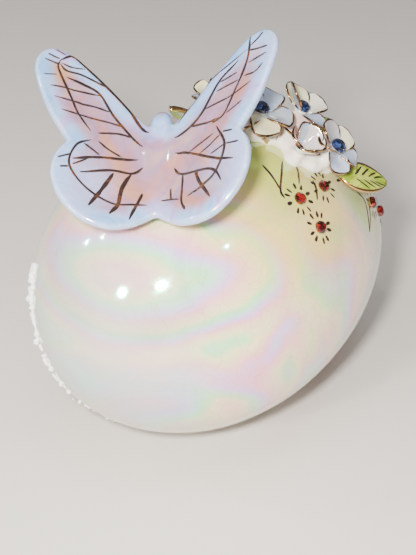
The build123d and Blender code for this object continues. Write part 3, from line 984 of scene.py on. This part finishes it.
class TRINKET_OT_stones(bpy.types.Operator):
    """Cut-glass stones in the flowers and on the glaze."""
    bl_idname = "trinket.stones"
    bl_label = "Stones"

    def execute(self, context):
        own = context.scene.trinket_flowers
        # Each stone's deep colour, its painted lit facets and its painted glints.
        blue = cut_glass("blue_cut_glass", (0.002, 0.004, 0.02), (0.004, 0.014, 0.08), (0.06, 0.11, 0.30))
        red = cut_glass("red_cut_glass", (0.012, 0.0005, 0.001), (0.06, 0.001, 0.002), (0.45, 0.015, 0.01))
        stones = [(f"blue_stone_{i}", blue, "blue_glass", seat(*FLOWERS[i - 1][:3]), own.blue_stone, 1.0)
                  for i in (1, 2, 3)]
        stones += [(f"red_stone_{i}", red, "red_glass", seat(*place), own.red_stone, 0.25)
                   for i, place in enumerate(RED_STONES, start=1)]
        for node, material, slot, placed, radius, raised in stones:
            bm = bmesh.new()
            bmesh.ops.create_cone(bm, segments=FACETS, cap_ends=True, radius1=radius, radius2=radius,
                                  depth=0.4 * radius)
            top = [face for face in bm.faces if face.normal.z > 0.9]
            self.crown(bm, top, radius)
            bmesh.ops.transform(bm, matrix=placed @ Matrix.Translation((0, 0, raised * MM)), verts=bm.verts)
            link(f"{node}_glass", to_mesh(bm, smooth=False), material, slot, "lid", node)
        return {"FINISHED"}

    @staticmethod
    def crown(bm, top, radius):
        """Two rows of crown facets up to a flat table."""
        for share, rise, turn in ((0.86, 0.22, 0.5), (0.56, 0.2, 0.0)):
            bmesh.ops.inset_region(bm, faces=top, thickness=0.05 * radius)
            verts = {vert for face in top for vert in face.verts}
            middle = sum((vert.co for vert in verts), Vector()) / len(verts)
            for vert in verts:
                flat = Vector((vert.co.x - middle.x, vert.co.y - middle.y, 0)).normalized()
                vert.co = Vector((0, 0, middle.z + rise * radius)) + flat * radius * share
            bmesh.ops.rotate(bm, cent=(0, 0, 0), matrix=Matrix.Rotation(turn * 2 * pi / FACETS, 3, "Z"),
                             verts=list(verts))


class TRINKET_OT_painting(bpy.types.Operator):
    """Painted stems and the dotted rings round the red stones."""
    bl_idname = "trinket.painting"
    bl_label = "Painting on the glaze"

    def execute(self, context):
        lines = [(width, [on_egg(along, around) for along, around in through(points, 8)])
                 for width, points in EGG_STROKES]
        rng = random.Random(11)
        for along, around in RED_STONES:
            placed = seat(along, around)
            for dash in range(DASHES):
                angle = 2 * pi * (dash + rng.uniform(-0.2, 0.2)) / DASHES
                near = rng.uniform(2.3, 2.7) * MM
                reaches = [near + further * MM for further in (0, 0.4, 0.8, 1.2, 1.6)]
                ends = [placed @ Vector((cos(angle) * reach, sin(angle) * reach, 0)) for reach in reaches]
                lines.append((rng.uniform(0.65, 0.9), [down(place) for place in ends]))
        link("painted_strokes", stroke_mesh(lines), brush_lustre(), None, "lid")
        return {"FINISHED"}


class TRINKET_OT_bead(bpy.types.Operator):
    """Ragged bead of dry slip down the blunt end."""
    bl_idname = "trinket.bead"
    bl_label = "Slip bead"

    def execute(self, context):
        rng = random.Random(3)
        bm = bmesh.new()
        route = through(BEAD_ROUTE, 16)
        for index, place in enumerate(route):
            point, outward = down(EGG_CENTRE + place * MM)
            for _ in range(2):
                jitter = Vector([rng.uniform(-0.55, 0.55) for _ in range(3)]) * MM
                radius = rng.uniform(0.5, 1.0) * MM * (1 - 0.55 * index / len(route))
                bmesh.ops.create_icosphere(bm, subdivisions=2, radius=radius,
                                           matrix=Matrix.Translation(point + jitter))
        bead = softened(evaluated(to_mesh(bm), voxel=0.3 * MM), 1)
        for vert in bead.verts:
            vert.co += vert.normal * 0.3 * MM * noise.noise(vert.co * 1100)
        link("slip_bead", to_mesh(bead), bead_glaze(), None, "lid")
        return {"FINISHED"}


class TRINKET_OT_stage(bpy.types.Operator):
    """Floor, lights and camera."""
    bl_idname = "trinket.stage"
    bl_label = "Stage"

    def execute(self, context):
        own = context.scene.trinket_stage
        back = Vector((sin(own.azimuth) * cos(own.elevation), -cos(own.azimuth) * cos(own.elevation),
                       sin(own.elevation)))
        right = Vector((0, 0, 1)).cross(back).normalized()
        up = back.cross(right)
        data = bpy.data.cameras.new("camera")
        data.lens = own.lens
        data.sensor_width = 36
        data.clip_start = 0.01
        camera = bpy.data.objects.new("camera", data)
        context.scene.collection.objects.link(camera)
        camera.location = EGG_CENTRE + back * own.distance - up * own.drop
        camera.rotation_euler = (-back).to_track_quat("-Z", "Y").to_euler()
        context.scene.camera = camera
        self.floor(context, own)
        flash = camera.location + (up * 24 - right * 30) * MM
        self.lamp(context, "flash", flash, 0.03, 2.4, (1.0, 0.95, 0.88))
        for name, azimuth, elevation, size, power in SPOTLIGHTS:
            place = EGG_CENTRE + self.towards(azimuth, elevation) * 0.8
            self.lamp(context, name, place, size, power, (1.0, 0.96, 0.91))
        for name, azimuth, elevation, power, colour in SOFTBOXES:
            place = EGG_CENTRE + self.towards(azimuth, elevation) * 0.8
            self.lamp(context, name, place, 0.5, power, colour).visible_glossy = False
        world = bpy.data.worlds.new("studio")
        world.use_nodes = True
        world.node_tree.nodes["Background"].inputs["Color"].default_value = (0.8, 0.8, 0.82, 1)
        world.node_tree.nodes["Background"].inputs["Strength"].default_value = 0.26
        context.scene.world = world
        return {"FINISHED"}

    @staticmethod
    def floor(context, own):
        bm = bmesh.new()
        bmesh.ops.create_grid(bm, x_segments=8, y_segments=8, size=1.5)
        mesh = to_mesh(bm)
        floor = bpy.data.objects.new("floor", mesh)
        floor.location.z = CAD_BOX[0].z
        context.scene.collection.objects.link(floor)
        glaze = Glaze("floor", Roughness=0.6)
        colour = tuple(own.floor_colour)
        glaze.set(Base_Color=glaze.mix(glaze.noise(40, 4), tuple(part * 0.96 for part in colour), colour))
        mesh.materials.append(glaze.material)

    @staticmethod
    def lamp(context, name, place, size, power, colour):
        data = bpy.data.lights.new(name, "AREA")
        data.shape = "DISK"
        data.size = size
        data.energy = power
        data.color = colour
        lamp = bpy.data.objects.new(name, data)
        lamp.location = place
        lamp.rotation_euler = (EGG_CENTRE - place).to_track_quat("-Z", "Y").to_euler()
        context.scene.collection.objects.link(lamp)
        return lamp

    @staticmethod
    def towards(azimuth, elevation):
        """Unit direction from the egg, azimuth 0 being its front and 90 its narrow end."""
        azimuth, elevation = radians(azimuth), radians(elevation)
        return Vector((sin(azimuth) * cos(elevation), -cos(azimuth) * cos(elevation), sin(elevation)))


OPERATORS = (TRINKET_OT_lid, TRINKET_OT_dish, TRINKET_OT_butterfly, TRINKET_OT_slip, TRINKET_OT_flowers,
             TRINKET_OT_leaves, TRINKET_OT_stones, TRINKET_OT_painting, TRINKET_OT_bead, TRINKET_OT_stage)


class TRINKET_PT_panel(bpy.types.Panel):
    bl_label = "Trinket box"
    bl_idname = "TRINKET_PT_panel"
    bl_space_type = "VIEW_3D"
    bl_region_type = "UI"
    bl_category = "Trinket"

    def draw(self, context):
        for operator in OPERATORS:
            self.layout.operator(operator.bl_idname)


CLASSES = (EggSettings, ButterflySettings, FlowerSettings, StageSettings, *OPERATORS, TRINKET_PT_panel)


def register():
    for item in CLASSES:
        bpy.utils.register_class(item)
    bpy.types.Scene.trinket_egg = PointerProperty(type=EggSettings)
    bpy.types.Scene.trinket_butterfly = PointerProperty(type=ButterflySettings)
    bpy.types.Scene.trinket_flowers = PointerProperty(type=FlowerSettings)
    bpy.types.Scene.trinket_stage = PointerProperty(type=StageSettings)


def unregister():
    del bpy.types.Scene.trinket_egg
    del bpy.types.Scene.trinket_butterfly
    del bpy.types.Scene.trinket_flowers
    del bpy.types.Scene.trinket_stage
    for item in reversed(CLASSES):
        bpy.utils.unregister_class(item)


def main():
    register()
    bpy.ops.trinket.lid()
    bpy.ops.trinket.dish()
    bpy.ops.trinket.butterfly()
    bpy.ops.trinket.slip()
    bpy.ops.trinket.flowers()
    bpy.ops.trinket.leaves()
    bpy.ops.trinket.stones()
    bpy.ops.trinket.painting()
    bpy.ops.trinket.bead()
    bpy.ops.trinket.stage()


if __name__ == "__main__":
    main()
